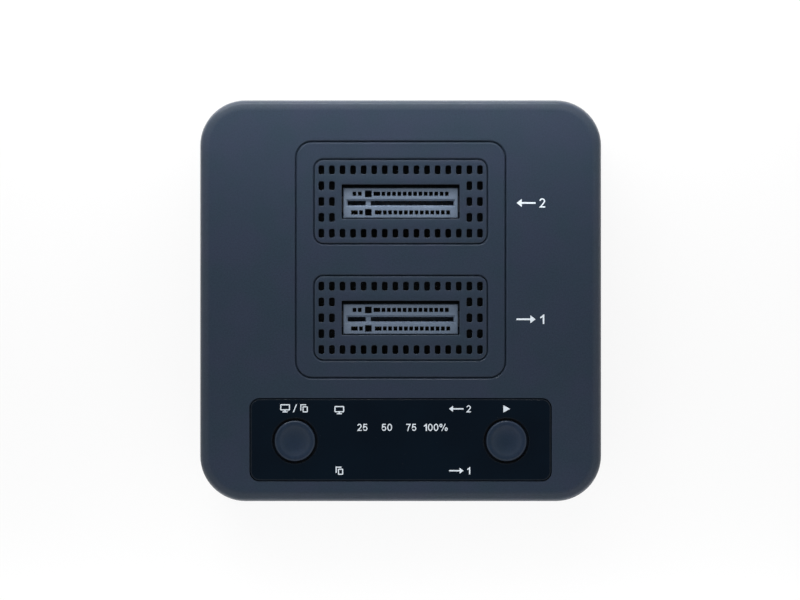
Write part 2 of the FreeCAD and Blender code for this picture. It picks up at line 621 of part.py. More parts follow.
# ---------------------------------------------------------------- control strip
def control_lens():
    lens = plate(LENS_W, LENS_D, TOP_Z - LENS_T, TOP_Z, LENS_CORNER_R, 0.0, LENS_Y)
    lens = lens.makeChamfer(LENS_EDGE, edges_at(lens, TOP_Z))
    return lens.cut([post(BUTTON_HOLE_R, TOP_Z - LENS_T, TOP_Z, x, BUTTON_Y) for x in BUTTON_XS.values()])


def lens_tape():
    """An adhesive frame under the lens, open at the buttons and lamps."""
    top = LENS_SEAT_Z + TAPE_T
    outer = centred(LENS_W - 2 * LENS_CORNER_R, LENS_D - 2 * TAPE_INSET, LENS_SEAT_Z, top, 0.0, LENS_Y)
    inner_w = 2 * (BUTTON_X + BUTTON_HOLE_R + TAPE_INSET)
    inner_d = 2 * (BUTTON_HOLE_R + TAPE_INSET)
    return outer.cut(centred(inner_w, inner_d, LENS_SEAT_Z, top, 0.0, BUTTON_Y))


def push_button(name):
    """A dished cap with a square stop flange under the cover and a stem down to its switch."""
    x = BUTTON_XS[name]
    top = TOP_Z + BUTTON_PROUD
    flange_top = CEILING_Z - TOUCH_GAP
    flange_bottom = flange_top - BUTTON_FLANGE_T
    cap = post(BUTTON_R, flange_bottom, top, x, BUTTON_Y)
    cap = cap.makeChamfer(BUTTON_EDGE, edges_at(cap, top))
    dish_r = BUTTON_R - BUTTON_EDGE - BUTTON_RIM
    cap = cap.cut(Part.makeCone(BUTTON_DISH_R, dish_r, BUTTON_DISH, V(x, BUTTON_Y, top - BUTTON_DISH)))
    flange = centred(BUTTON_FLANGE, BUTTON_FLANGE, flange_bottom, flange_top, x, BUTTON_Y)
    stem = centred(STEM_SIDE, STEM_SIDE, TACT_TOP_Z, flange_bottom, x, BUTTON_Y)
    return cap.fuse([flange, stem])


def tact_plunger(name):
    low = BOARD_TOP_Z + TACT_BODY_H - TACT_PLUNGER_IN
    return small_round(TACT_PLUNGER_R, low, TACT_TOP_Z, BUTTON_XS[name], BUTTON_Y)


def tact_body(name):
    x = BUTTON_XS[name]
    top = BOARD_TOP_Z + TACT_BODY_H - SHEET_T
    body = centred(TACT_SIDE, TACT_SIDE, BOARD_TOP_Z, top, x, BUTTON_Y)
    floor = BOARD_TOP_Z + TACT_BODY_H - TACT_PLUNGER_IN - BUTTON_TRAVEL - TACT_FLOOR_GAP
    return body.cut(small_round(TACT_PLUNGER_R + FIT, floor, top, x, BUTTON_Y))


def tact_covers():
    """Steel plates over the two key switches."""
    top = BOARD_TOP_Z + TACT_BODY_H
    covers = []
    for x in BUTTON_XS.values():
        cover = centred(TACT_SIDE, TACT_SIDE, top - SHEET_T, top, x, BUTTON_Y)
        covers.append(cover.cut(small_round(TACT_PLUNGER_R + FIT, top - SHEET_T, top, x, BUTTON_Y)))
    return group(covers)


def tact_leads():
    """Four bent legs on each key switch, two at its front and two at its rear."""
    leads = []
    for x in BUTTON_XS.values():
        for side in (-1, 1):
            face = TACT_SIDE / 2 + SHEET_T / 2
            path = [(face, BOARD_TOP_Z + TACT_LEAD_H), (face, BOARD_TOP_Z + SHEET_T / 2)]
            path += [(face + TACT_LEAD_FOOT, BOARD_TOP_Z + SHEET_T / 2)]
            path = [(BUTTON_Y + side * y, z) for y, z in path]
            for end in (-1, 1):
                leads.append(strip(path, SHEET_T, TACT_LEAD_W, x + end * TACT_LEAD_X))
    return group(leads)


def light_block():
    """Tunnels that keep each lamp's light apart, from the board up to the lens."""
    top = LENS_SEAT_Z + TAPE_T - TOUCH_GAP
    solid = centred(LIGHT_BLOCK_W, LIGHT_BLOCK_D, BOARD_TOP_Z, top, 0.0, LENS_Y)
    return solid.cut([centred(LIGHT_W, LIGHT_D, BOARD_TOP_Z, top, x, y) for x, y in LAMPS])


def status_lamps():
    return group(centred(LAMP_W, LAMP_D, BOARD_TOP_Z, BOARD_TOP_Z + LAMP_H, x, y) for x, y in LAMPS)


# ---------------------------------------------------------------- main board
def main_board():
    board = centred(BOARD_W, BOARD_D, BOARD_Z, BOARD_TOP_Z)
    board = board.makeChamfer(BOARD_CORNER, edges_along(board, Z_AXIS))
    return board.cut([small_round(SCREW_SHANK_R + FIT, BOARD_Z, BOARD_TOP_Z, x, y) for x, y in SCREWS])


def on_board(size, x, y):
    """A plain component body on top of the board."""
    return centred(size[0], size[1], BOARD_TOP_Z, BOARD_TOP_Z + size[2], x, y)


def bridge_chips():
    return group(on_board((BRIDGE_SIDE, BRIDGE_SIDE, CHIP_H), BRIDGE_X, y) for y in SOCKET_YS.values())


def clone_controller():
    return on_board((CONTROLLER_SIDE, CONTROLLER_SIDE, CHIP_H), CONTROLLER_X, CONTROLLER_Y)


def crystals():
    beside = BRIDGE_SIDE / 2 + CRYSTAL_GAP + CRYSTAL[1] / 2
    places = [(BRIDGE_X, y - beside) for y in SOCKET_YS.values()]
    places.append((CONTROLLER_X, CONTROLLER_CRYSTAL_Y))
    return group(on_board(CRYSTAL, x, y) for x, y in places)


def flash_chip():
    """A memory chip in an eight-lead package."""
    body_z = BOARD_TOP_Z + SHEET_T
    width, depth, height = FLASH
    body = centred(width, depth, body_z, BOARD_TOP_Z + height, CONTROLLER_X, FLASH_Y)
    leads = []
    for side in (-1, 1):
        lead_z = body_z + FLASH_LEAD_H
        path = [(depth / 2 - FLASH_LEAD_IN, lead_z), (depth / 2 + FLASH_LEAD_KNEE, lead_z)]
        path += [(depth / 2 + FLASH_LEAD, BOARD_TOP_Z + SHEET_T / 2)]
        path = [(FLASH_Y + side * y, z) for y, z in path]
        for n in range(4):
            x = CONTROLLER_X + (n - 1.5) * FLASH_LEAD_PITCH
            leads.append(strip(path, SHEET_T, FLASH_LEAD_W, x))
    return body.fuse(leads)


def power_inductors():
    solids = []
    for x, y in INDUCTORS:
        body = on_board((INDUCTOR_SIDE, INDUCTOR_SIDE, INDUCTOR_H), x, y)
        solids.append(body.makeChamfer(INDUCTOR_CHAMFER, edges_along(body, Z_AXIS)))
    return group(solids)


def capacitor_bases():
    """Square plastic feet of the can capacitors."""
    side = 2 * (CAN_R + CAN_BASE_MARGIN)
    return group(on_board((side, side, CAN_BASE_T), x, y) for x, y in CANS)


def capacitor_cans():
    z = BOARD_TOP_Z + CAN_BASE_T
    return group(small_round(CAN_R, z, z + CAN_H, x, y) for x, y in CANS)


def regulators():
    return group(on_board(REGULATOR, x, y) for x, y in REGULATORS)


def ceramic_capacitors():
    solids = []
    for y in SOCKET_YS.values():
        for n in range(CERAMICS):
            x = (n - (CERAMICS - 1) / 2) * CERAMIC_PITCH
            solids.append(on_board(CERAMIC, x, y - SOCKET_D / 2 - CERAMIC_ROW_GAP))
    return group(solids)


# ---------------------------------------------------------------- power inlet
def power_jack_housing():
    x0 = JACK_X - JACK_W / 2
    x1 = JACK_X + JACK_W / 2
    body = block(x0, x1, JACK_FACE_Y - JACK_D, JACK_FACE_Y, BOARD_Z - JACK_H, BOARD_Z)
    low_edges = [e for e in edges_along(body, Y_AXIS) if e.BoundBox.ZMax < BOARD_Z - JACK_H + SLIVER]
    body = body.makeChamfer(JACK_EDGE, low_edges)
    bore_y = JACK_FACE_Y - JACK_BORE_DEPTH
    bore = Part.makeCylinder(JACK_BORE_R, JACK_BORE_DEPTH, V(JACK_X, bore_y, JACK_AXIS_Z), Y_AXIS)
    half = JACK_SPRING_W / 2 + FIT
    channel_z = JACK_AXIS_Z - JACK_BORE_R - JACK_SPRING_T - FIT
    channel_y = JACK_FACE_Y - JACK_CHANNEL_FRONT
    channel = block(JACK_X - half, JACK_X + half, bore_y, channel_y, channel_z, JACK_AXIS_Z)
    return body.cut([bore, jack_root(bore_y), channel])


def power_jack_pin():
    """The centre pin, with a square root through the jack's back wall."""
    bore_y = JACK_FACE_Y - JACK_BORE_DEPTH
    pin_l = JACK_BORE_DEPTH - JACK_PIN_BACK
    pin = Part.makeCylinder(JACK_PIN_R, pin_l, V(JACK_X, bore_y, JACK_AXIS_Z), Y_AXIS)
    return pin.fuse(jack_root(bore_y))


def jack_root(front_y):
    """The room that the pin's root takes, from the jack's back to a plane."""
    low = JACK_AXIS_Z - JACK_ROOT / 2
    back_y = JACK_FACE_Y - JACK_D
    return block(JACK_X - JACK_ROOT / 2, JACK_X + JACK_ROOT / 2, back_y, front_y, low, low + JACK_ROOT)


def power_jack_spring():
    """The leaf that touches the plug's barrel, lying in the channel under the bore."""
    flat_z = JACK_AXIS_Z - JACK_BORE_R - JACK_SPRING_T / 2
    back_y = JACK_FACE_Y - JACK_BORE_DEPTH + FIT
    path = [(back_y, flat_z), (back_y + JACK_SPRING_FLAT, flat_z)]
    path += [(back_y + JACK_SPRING_CREST, flat_z + JACK_SPRING_RISE), (back_y + JACK_SPRING_L, flat_z)]
    return strip(path, JACK_SPRING_T, JACK_SPRING_W, JACK_X)


# ---------------------------------------------------------------- USB-C port
def port_tube(width, height, y0, y1, radius):
    """A prism with the port's rounded outline."""
    half_w = width / 2
    half_h = height / 2
    solid = block(USB_X - half_w, USB_X + half_w, y0, y1, USB_AXIS_Z - half_h, USB_AXIS_Z + half_h)
    return rounded(solid, radius, Y_AXIS)


def usb_c_shell():
    y0 = USB_FACE_Y - USB_D
    outer = port_tube(USB_W, USB_H, y0, USB_FACE_Y, USB_R)
    inner_w = USB_W - 2 * USB_SHEET
    inner_h = USB_H - 2 * USB_SHEET
    return outer.cut(port_tube(inner_w, inner_h, y0, USB_FACE_Y, USB_R - USB_SHEET))


def usb_c_tongue():
    """The insulator that closes the shell's back, with the contact tongue."""
    y0 = USB_FACE_Y - USB_D
    y1 = y0 + USB_BACK
    half_w = USB_W / 2 - USB_R
    half_h = USB_H / 2 - USB_SHEET
    back = block(USB_X - half_w, USB_X + half_w, y0, y1, USB_AXIS_Z - half_h, USB_AXIS_Z + half_h)
    half_w = USB_TONGUE_W / 2
    half_t = USB_TONGUE_T / 2
    z = USB_AXIS_Z
    return back.fuse(block(USB_X - half_w, USB_X + half_w, y1, y1 + USB_TONGUE_L, z - half_t, z + half_t))


def usb_c_contacts():
    y0 = USB_FACE_Y - USB_D + USB_BACK + USB_PAD_BACK
    pads = []
    for side in (-1, 1):
        z0, z1 = sorted((side * USB_TONGUE_T / 2, side * (USB_TONGUE_T / 2 + USB_PAD_T)))
        for n in range(USB_PADS):
            x = USB_X + (n - (USB_PADS - 1) / 2) * CONTACT_PITCH
            x0 = x - USB_PAD_W / 2
            pads.append(block(x0, x0 + USB_PAD_W, y0, y0 + USB_PAD_L, USB_AXIS_Z + z0, USB_AXIS_Z + z1))
    return group(pads)


# ---------------------------------------------------------------- power switch
def power_switch_body():
    body = across_cap(SWITCH_W, SWITCH_H, SWITCH_FACE_Y - SWITCH_D, SWITCH_FACE_Y)
    side = SHAFT_SIDE + 2 * RUNNING
    depth = SHAFT_IN_BODY + POWER_TRAVEL + POWER_STOP_GAP
    return body.cut(across_cap(side, side, SWITCH_FACE_Y - depth, SWITCH_FACE_Y))


def power_switch_shaft():
    return across_cap(SHAFT_SIDE, SHAFT_SIDE, SWITCH_FACE_Y - SHAFT_IN_BODY, POWER_BACK_Y + SHAFT_IN_CAP)


def across_cap(width, height, y0, y1):
    """A box about the power button's axis."""
    x0 = SWITCH_X - width / 2
    z0 = SHAFT_Z - height / 2
    return block(x0, x0 + width, y0, y1, z0, z0 + height)


def power_button():
    cap = rounded(across_cap(POWER_CAP_W, POWER_CAP_H, POWER_BACK_Y, POWER_FACE_Y), POWER_CAP_R, Y_AXIS)
    face = [e for e in cap.Edges if e.BoundBox.YMin > POWER_FACE_Y - SLIVER]
    cap = cap.makeChamfer(POWER_CAP_EDGE, face)
    stop_y = REAR_INNER_Y - TOUCH_GAP
    flange_w = POWER_CAP_W + 2 * POWER_FLANGE
    flange_h = POWER_CAP_H + 2 * POWER_FLANGE
    flange = across_cap(flange_w, flange_h, stop_y - POWER_FLANGE_T, stop_y)
    socket_end = POWER_BACK_Y + SHAFT_IN_CAP
    return cap.fuse(flange).cut(across_cap(SHAFT_SIDE, SHAFT_SIDE, POWER_BACK_Y, socket_end))


# ---------------------------------------------------------------- nodes
NODES = {
    "top_cover": top_cover(),
    "bottom_cover": bottom_cover(),
    "rubber_feet": rubber_feet(),
    "case_screws": case_screws(),
    "slot_panel": slot_panel(),
    "control_lens": control_lens(),
    "lens_tape": lens_tape(),
    "light_block": light_block(),
    "status_lamps": status_lamps(),
    "tact_covers": tact_covers(),
    "tact_leads": tact_leads(),
    "socket_hold_downs": hold_downs(),
    "main_board": main_board(),
    "bridge_chips": bridge_chips(),
    "clone_controller": clone_controller(),
    "crystals": crystals(),
    "flash_chip": flash_chip(),
    "power_inductors": power_inductors(),
    "capacitor_bases": capacitor_bases(),
    "capacitor_cans": capacitor_cans(),
    "regulators": regulators(),
    "ceramic_capacitors": ceramic_capacitors(),
    "power_jack_housing": power_jack_housing(),
    "power_jack_pin": power_jack_pin(),
    "power_jack_spring": power_jack_spring(),
    "usb_c_shell": usb_c_shell(),
    "usb_c_tongue": usb_c_tongue(),
    "usb_c_contacts": usb_c_contacts(),
    "power_switch_body": power_switch_body(),
    "power_switch_shaft": power_switch_shaft(),
    "power_button": power_button(),
}
for bay_name in BEZEL_YS:
    NODES[bay_name + "_bezel"] = bezel(bay_name)
    NODES[bay_name + "_socket"] = socket(bay_name)
    NODES[bay_name + "_contacts"] = contacts(bay_name)
for button_name in BUTTON_XS:
    NODES[button_name + "_button"] = push_button(button_name)
    NODES[button_name + "_switch_body"] = tact_body(button_name)
    NODES[button_name + "_switch_plunger"] = tact_plunger(button_name)

os.makedirs("parts", exist_ok=True)
for node, shape in NODES.items():
    shape.exportStep(os.path.join("parts", node + ".step"))
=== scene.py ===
import json
import math

import bmesh
import bpy
from mathutils import Matrix, Vector
from mathutils.geometry import delaunay_2d_cdt


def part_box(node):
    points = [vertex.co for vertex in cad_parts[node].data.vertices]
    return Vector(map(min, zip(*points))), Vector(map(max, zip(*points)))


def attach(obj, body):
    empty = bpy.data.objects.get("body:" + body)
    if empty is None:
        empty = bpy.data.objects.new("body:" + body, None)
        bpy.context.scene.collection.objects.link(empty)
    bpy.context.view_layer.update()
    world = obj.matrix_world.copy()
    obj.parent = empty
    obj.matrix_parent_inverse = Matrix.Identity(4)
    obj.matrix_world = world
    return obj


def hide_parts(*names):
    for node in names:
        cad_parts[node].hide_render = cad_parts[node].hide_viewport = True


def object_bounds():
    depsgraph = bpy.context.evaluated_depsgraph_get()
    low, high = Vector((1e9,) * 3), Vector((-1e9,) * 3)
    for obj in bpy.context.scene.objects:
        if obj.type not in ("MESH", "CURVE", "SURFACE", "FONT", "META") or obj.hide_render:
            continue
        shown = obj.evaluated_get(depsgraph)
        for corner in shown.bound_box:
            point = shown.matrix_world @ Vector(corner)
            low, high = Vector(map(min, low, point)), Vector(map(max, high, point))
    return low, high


# Dresses the drive duplicator: a material for every slot of the record, finely made bezels, button
# caps and feet, the printed marks, a plain studio and the camera above. Metres, in the frame of the
# part: +Z is up and +Y is the rear.

MM = 0.001

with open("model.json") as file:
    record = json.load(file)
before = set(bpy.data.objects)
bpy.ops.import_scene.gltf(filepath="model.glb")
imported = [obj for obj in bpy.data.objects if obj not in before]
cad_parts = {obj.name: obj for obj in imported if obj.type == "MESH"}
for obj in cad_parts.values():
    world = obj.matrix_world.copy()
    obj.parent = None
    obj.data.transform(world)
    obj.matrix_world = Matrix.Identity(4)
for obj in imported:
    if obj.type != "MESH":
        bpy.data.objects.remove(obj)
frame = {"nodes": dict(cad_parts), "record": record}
CAD_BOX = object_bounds()
CAD_LOW, CAD_HIGH = (Vector(corner) for corner in CAD_BOX)
NODES = frame["nodes"]
HOUSING = "housing"


def middle(node):
    """Centre of a node's box."""
    low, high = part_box(node)
    return (low + high) / 2


# ---------------------------------------------------------------- node materials
SOFT_EDGE_SAMPLES = 6
EDGE_TURN = (0.9, 0.999)  # cosine between rounded and true normal: fully an edge, and flat


class Shader:
    """A material in the making. Most methods add nodes and return an output."""

    def __init__(self, name, **surface):
        self.material = bpy.data.materials.new(name)
        self.material.use_nodes = True
        self.tree = self.material.node_tree
        self.tree.nodes.clear()
        self.surface = self.add("ShaderNodeBsdfPrincipled")
        for socket, value in surface.items():
            self.surface.inputs[socket.replace("_", " ")].default_value = value
        self.end = self.add("ShaderNodeOutputMaterial").inputs["Surface"]
        self.link(self.surface.outputs["BSDF"], self.end)
        self.place = self.add("ShaderNodeTexCoord").outputs["Object"]

    def add(self, kind, **settings):
        """Adds a node and returns the node itself."""
        node = self.tree.nodes.new(kind)
        for name, value in settings.items():
            setattr(node, name, value)
        return node

    def link(self, output, socket):
        self.tree.links.new(output, socket)

    def feed(self, output, socket):
        """Drives one of the surface's own sockets."""
        self.link(output, self.surface.inputs[socket])

    def give(self, value, socket):
        """Gives a socket an output or a constant."""
        if isinstance(value, bpy.types.NodeSocket):
            self.link(value, socket)
        else:
            socket.default_value = value

    def texture(self, kind, scale, **inputs):
        """Adds a texture on the object's own coordinates and returns the node itself."""
        mapping = self.add("ShaderNodeMapping")
        mapping.inputs["Scale"].default_value = scale
        self.link(self.place, mapping.inputs["Vector"])
        node = self.add(kind)
        self.link(mapping.outputs[0], node.inputs["Vector"])
        node.inputs["Scale"].default_value = 1.0
        for name, value in inputs.items():
            node.inputs[name.replace("_", " ")].default_value = value
        return node

    def noise(self, size, detail=2.0, stretch=(1.0, 1.0, 1.0)):
        """Cloudy noise whose features are about this size, stretched along the axes."""
        scale = [1 / (size * s) for s in stretch]
        return self.texture("ShaderNodeTexNoise", scale, Detail=detail).outputs["Fac"]

    def spots(self, size):
        """Distance to the nearest of scattered points, in units of their spacing."""
        return self.texture("ShaderNodeTexVoronoi", [1 / size] * 3).outputs["Distance"]

    def spread(self, value, low, high, start=0.35, end=0.65):
        """Carries a value from start..end to low..high, clamped."""
        node = self.add("ShaderNodeMapRange")
        self.link(value, node.inputs["Value"])
        ends = {"From Min": start, "From Max": end, "To Min": low, "To Max": high}
        for name, number in ends.items():
            node.inputs[name].default_value = number
        return node.outputs["Result"]

    def tint(self, value, low, high, start=0.35, end=0.65):
        """Carries a value from start..end to a blend of two colours."""
        node = self.add("ShaderNodeValToRGB")
        stops = node.color_ramp.elements
        for stop, position, colour in zip(stops, (start, end), (low, high)):
            stop.position = position
            stop.color = (*colour, 1.0)
        self.link(value, node.inputs["Fac"])
        return node.outputs["Color"]

    def blend(self, factor, first, second, kind="MIX"):
        """Mixes two colours, each an output or a constant."""
        node = self.add("ShaderNodeMix", data_type="RGBA", blend_type=kind)
        colours = [s for s in node.inputs if s.type == "RGBA"]
        for value, socket in zip((factor, first, second), (node.inputs["Factor"], *colours)):
            self.give(value, socket)
        return next(s for s in node.outputs if s.type == "RGBA")

    def calculate(self, operation, first, second):
        """Adds or multiplies two numbers, each an output or a constant."""
        node = self.add("ShaderNodeMath", operation=operation)
        for value, socket in zip((first, second), node.inputs):
            self.give(value, socket)
        return node.outputs["Value"]

    def soft_edges(self, radius):
        """Normals that run round every edge as if it were rounded to this radius."""
        node = self.add("ShaderNodeBevel", samples=SOFT_EDGE_SAMPLES)
        node.inputs["Radius"].default_value = radius
        return node.outputs["Normal"]

    def edge_mask(self, soft):
        """Near 1 at an edge and 0 on the flat, from the rounded normals."""
        dot = self.add("ShaderNodeVectorMath", operation="DOT_PRODUCT")
        self.link(soft, dot.inputs[0])
        self.link(self.add("ShaderNodeNewGeometry").outputs["Normal"], dot.inputs[1])
        return self.spread(dot.outputs["Value"], 1.0, 0.0, *EDGE_TURN)

    def bump(self, height, depth, under=None):
        """Normals of a relief of this depth, laid over other normals if they are given."""
        node = self.add("ShaderNodeBump")
        node.inputs["Distance"].default_value = depth
        self.link(height, node.inputs["Height"])
        if under is not None:
            self.link(under, node.inputs["Normal"])
        return node.outputs["Normal"]


def grey(level):
    return (level, level, level)


# Moulded plastic
CLOUD_SIZE = 7 * MM
SPECK_TO_GRAIN = 1.6
SPECK_TONES = (grey(0.86), grey(1.12))
SPECK_RANGE = (0.3, 0.7)
RUB_AND_HIGHLIGHT_SIZE = 2.5 * MM
RUB_AND_HIGHLIGHT_LEAST = 0.1
RUB_SMOOTHS = 0.25
HANDLING_SIZE = 5 * MM


def moulded(name, tones, roughness, grain, grain_depth, edge_radius, edge_wear_and_highlight, edge_wear_and_highlight_level=0.5,
            **surface):
    """Moulded plastic: cloudy tone, spark-eroded grain, and edges made lighter and smoother: part
    wear, part painted highlight.
    """
    shader = Shader(name, **surface)
    cloud = shader.tint(shader.noise(CLOUD_SIZE, detail=3.0), *tones)
    flecks = shader.noise(grain * SPECK_TO_GRAIN, detail=1.0)
    speck = shader.tint(flecks, *SPECK_TONES, *SPECK_RANGE)
    tone = shader.blend(1.0, cloud, speck, "MULTIPLY")
    soft = shader.soft_edges(edge_radius)
    # Edges painted lighter in the wear colour, part rub wear and part painted highlight; the same
    # mask makes them smoother.
    patches = shader.spread(shader.noise(RUB_AND_HIGHLIGHT_SIZE, detail=3.0), RUB_AND_HIGHLIGHT_LEAST, edge_wear_and_highlight_level)
    rubbed_and_highlit = shader.calculate("MULTIPLY", shader.edge_mask(soft), patches)
    shader.feed(shader.blend(rubbed_and_highlit, tone, (*edge_wear_and_highlight, 1.0)), "Base Color")
    low, high = roughness
    rough = shader.spread(shader.noise(HANDLING_SIZE, detail=4.0), low, high)
    smoothing = shader.calculate("MULTIPLY", rubbed_and_highlit, -RUB_SMOOTHS * low)
    shader.feed(shader.calculate("ADD", rough, smoothing), "Roughness")
    shader.feed(shader.bump(shader.noise(grain), grain_depth, soft), "Normal")
    return shader.material


def case_plastic():
    return moulded(
        "case_plastic", tones=((0.0178, 0.0312, 0.0498), (0.0210, 0.0305, 0.0540)),
        roughness=(0.50, 0.56), grain=0.17 * MM, grain_depth=0.006 * MM, edge_radius=0.12 * MM,
        edge_wear_and_highlight=(0.067, 0.088, 0.122), Specular_IOR_Level=0.3, Coat_Weight=0.4, Coat_Roughness=0.2)


def button_plastic():
    # Its rim is painted much lighter: part wear, part painted highlight.
    return moulded(
        "button_plastic", tones=((0.0084, 0.0196, 0.0385), (0.0106, 0.0214, 0.0440)),
        roughness=(0.44, 0.52), grain=0.14 * MM, grain_depth=0.005 * MM, edge_radius=0.12 * MM,
        edge_wear_and_highlight=(0.098, 0.122, 0.158), edge_wear_and_highlight_level=0.8, Specular_IOR_Level=0.3,
        Coat_Weight=0.5, Coat_Roughness=0.18)


def socket_plastic():
    return moulded(
        "socket_plastic", tones=((0.130, 0.172, 0.238), (0.152, 0.194, 0.264)),
        roughness=(0.38, 0.48), grain=0.09 * MM, grain_depth=0.003 * MM, edge_radius=0.05 * MM,
        edge_wear_and_highlight=(0.26, 0.31, 0.40))


def black_plastic():
    return moulded(
        "black_plastic", tones=(grey(0.010), (0.014, 0.014, 0.016)),
        roughness=(0.42, 0.52), grain=0.12 * MM, grain_depth=0.004 * MM, edge_radius=0.06 * MM,
        edge_wear_and_highlight=grey(0.035))


def foot_rubber():
    return moulded(
        "foot_rubber", tones=(grey(0.012), (0.018, 0.018, 0.019)),
        roughness=(0.74, 0.86), grain=0.20 * MM, grain_depth=0.010 * MM, edge_radius=0.10 * MM,
        edge_wear_and_highlight=grey(0.04), Specular_IOR_Level=0.3)


def tape():
    return moulded(
        "tape", tones=(grey(0.012), grey(0.020)),
        roughness=(0.55, 0.65), grain=0.25 * MM, grain_depth=0.004 * MM, edge_radius=0.03 * MM,
        edge_wear_and_highlight=grey(0.03))


def ferrite():
    return moulded(
        "ferrite", tones=(grey(0.045), (0.070, 0.068, 0.064)),
        roughness=(0.60, 0.75), grain=0.14 * MM, grain_depth=0.012 * MM, edge_radius=0.06 * MM,
        edge_wear_and_highlight=grey(0.12))


def lamp_plastic():
    return moulded(
        "lamp_plastic", tones=((0.60, 0.58, 0.46), (0.72, 0.70, 0.58)),
        roughness=(0.18, 0.28), grain=0.30 * MM, grain_depth=0.002 * MM, edge_radius=0.05 * MM,
        edge_wear_and_highlight=grey(0.8), Coat_Weight=0.5, Coat_Roughness=0.1)


# Control strip and print
DUST_SPACING = 1.3 * MM
DUST_SIZE = (0.014, 0.028)  # of the spacing
DUST_TONE = (0.12, 0.13, 0.14, 1.0)
WIPE_SIZE = 1.1 * MM
WIPE_STRETCH = (6.0, 1.0, 1.0)
STRIP_EDGE_RADIUS = 0.28 * MM
STRIP_WAVE = 14 * MM
STRIP_WAVE_DEPTH = 0.004 * MM
INK_GRAIN = 0.08 * MM
INK_GRAIN_DEPTH = 0.002 * MM


def lens_gloss():
    """Near-black gloss: faint wipe marks in the roughness and a few specks of dust."""
    shader = Shader("lens_gloss", IOR=1.49, Specular_IOR_Level=0.5)
    tone = shader.tint(shader.noise(9 * MM), (0.0004, 0.0036, 0.0089), (0.0006, 0.0045, 0.0105))
    dust = shader.spread(shader.spots(DUST_SPACING), 0.5, 0.0, *DUST_SIZE)
    shader.feed(shader.blend(dust, tone, DUST_TONE), "Base Color")
    wipes = shader.noise(WIPE_SIZE, detail=4.0, stretch=WIPE_STRETCH)
    shader.feed(shader.spread(wipes, 0.05, 0.11), "Roughness")
    soft = shader.soft_edges(STRIP_EDGE_RADIUS)
    wave = shader.noise(STRIP_WAVE, detail=1.0)
    shader.feed(shader.bump(wave, STRIP_WAVE_DEPTH, soft), "Normal")
    return shader.material


def printed_ink():
    """Screen-printed pale blue-grey, a little uneven at this scale."""
    shader = Shader("printed_ink", Roughness=0.5)
    tone = shader.tint(shader.noise(0.16 * MM), (0.65, 0.71, 0.77), (0.79, 0.86, 0.93))
    shader.feed(tone, "Base Color")
    shader.feed(shader.spread(shader.noise(0.3 * MM), 0.42, 0.58), "Roughness")
    shader.feed(shader.bump(shader.noise(INK_GRAIN), INK_GRAIN_DEPTH), "Normal")
    return shader.material


# Metals and the board
SCRATCH_SIZE = 0.12 * MM
SCRATCH_DEPTH = 0.0015 * MM
RUN_SPACING = 2.4 * MM
RUN_WIDTH = 0.07  # of the spacing
RUN_HEIGHT = 0.02 * MM


def metal(name, tones, roughness, streak, edge_radius):
    """Sheet metal: rolling streaks in tone and roughness, fine scratches, softened edges."""
    shader = Shader(name, Metallic=1.0)
    lines = shader.noise(SCRATCH_SIZE, detail=3.0, stretch=streak)
    cloud = shader.noise(3 * MM, detail=3.0)
    shader.feed(shader.tint(shader.blend(0.5, lines, cloud), *tones), "Base Color")
    shader.feed(shader.spread(lines, *roughness), "Roughness")
    shader.feed(shader.bump(lines, SCRATCH_DEPTH, shader.soft_edges(edge_radius)), "Normal")
    return shader.material


def contact_metal():
    return metal("contact_metal", tones=((0.78, 0.60, 0.30), (0.90, 0.74, 0.44)),
                 roughness=(0.16, 0.30), streak=(1.0, 1.0, 8.0), edge_radius=0.03 * MM)


def steel():
    return metal("steel", tones=((0.46, 0.47, 0.48), (0.62, 0.63, 0.64)),
                 roughness=(0.24, 0.40), streak=(1.0, 10.0, 1.0), edge_radius=0.05 * MM)


def can_aluminium():
    return metal("can_aluminium", tones=((0.62, 0.62, 0.64), (0.76, 0.76, 0.78)),
                 roughness=(0.28, 0.42), streak=(1.0, 1.0, 12.0), edge_radius=0.08 * MM)


def board():
    """Black solder mask: glossy, with copper runs that stand up faintly under it."""
    shader = Shader("board", Coat_Weight=0.4, Coat_Roughness=0.15)
    copper = shader.texture("ShaderNodeTexBrick", [1 / RUN_SPACING] * 3,
                            Mortar_Size=RUN_WIDTH).outputs["Fac"]
    cloud = shader.noise(5 * MM, detail=3.0)
    mask = shader.tint(cloud, (0.003, 0.009, 0.018), (0.006, 0.013, 0.024))
    shader.feed(shader.blend(copper, mask, (0.012, 0.024, 0.036, 1.0)), "Base Color")
    shader.feed(shader.spread(shader.noise(2 * MM, detail=3.0), 0.25, 0.38), "Roughness")
    shader.feed(shader.bump(copper, RUN_HEIGHT), "Normal")
    return shader.material


MATERIALS = {make.__name__: make() for make in (
    case_plastic, button_plastic, lens_gloss, socket_plastic, contact_metal, steel, black_plastic,
    board, foot_rubber, tape, lamp_plastic, can_aluminium, ferrite)}
INK = printed_ink()

for part in frame["record"]["subparts"]:
    for slot in NODES[part["node"]].material_slots:
        slot.material = MATERIALS[part["material_slot"]]


# ---------------------------------------------------------------- shapes made here
TURN_STEPS = 64
RIM_STEPS = 6
EASE_STEPS = 4
TURNED_SHARP = 40  # degrees
PLATE_SHARP = 50  # degrees
KEEP_INSIDE = 1  # the triangulation's own number for triangles inside the outlines
MERGE_DISTANCE = 1e-9


def new_piece(name, mesh, slot_name, body=HOUSING, material=None):
    """A finished piece on a CAD body, in its slot's material unless another is given."""
    piece = bpy.data.objects.new(name, mesh)
    bpy.context.scene.collection.objects.link(piece)
    mesh.materials.append(material or MATERIALS[slot_name])
    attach(piece, body)
    return piece


def skin(mesh, rings, inward=False):
    """Joins rings of points, one above the other, by smooth faces."""
    for lower, upper in zip(rings, rings[1:]):
        for n in range(len(lower)):
            after = (n + 1) % len(lower)
            corners = (lower[n], lower[after], upper[after], upper[n])
            mesh.faces.new(corners[::-1] if inward else corners).smooth = True


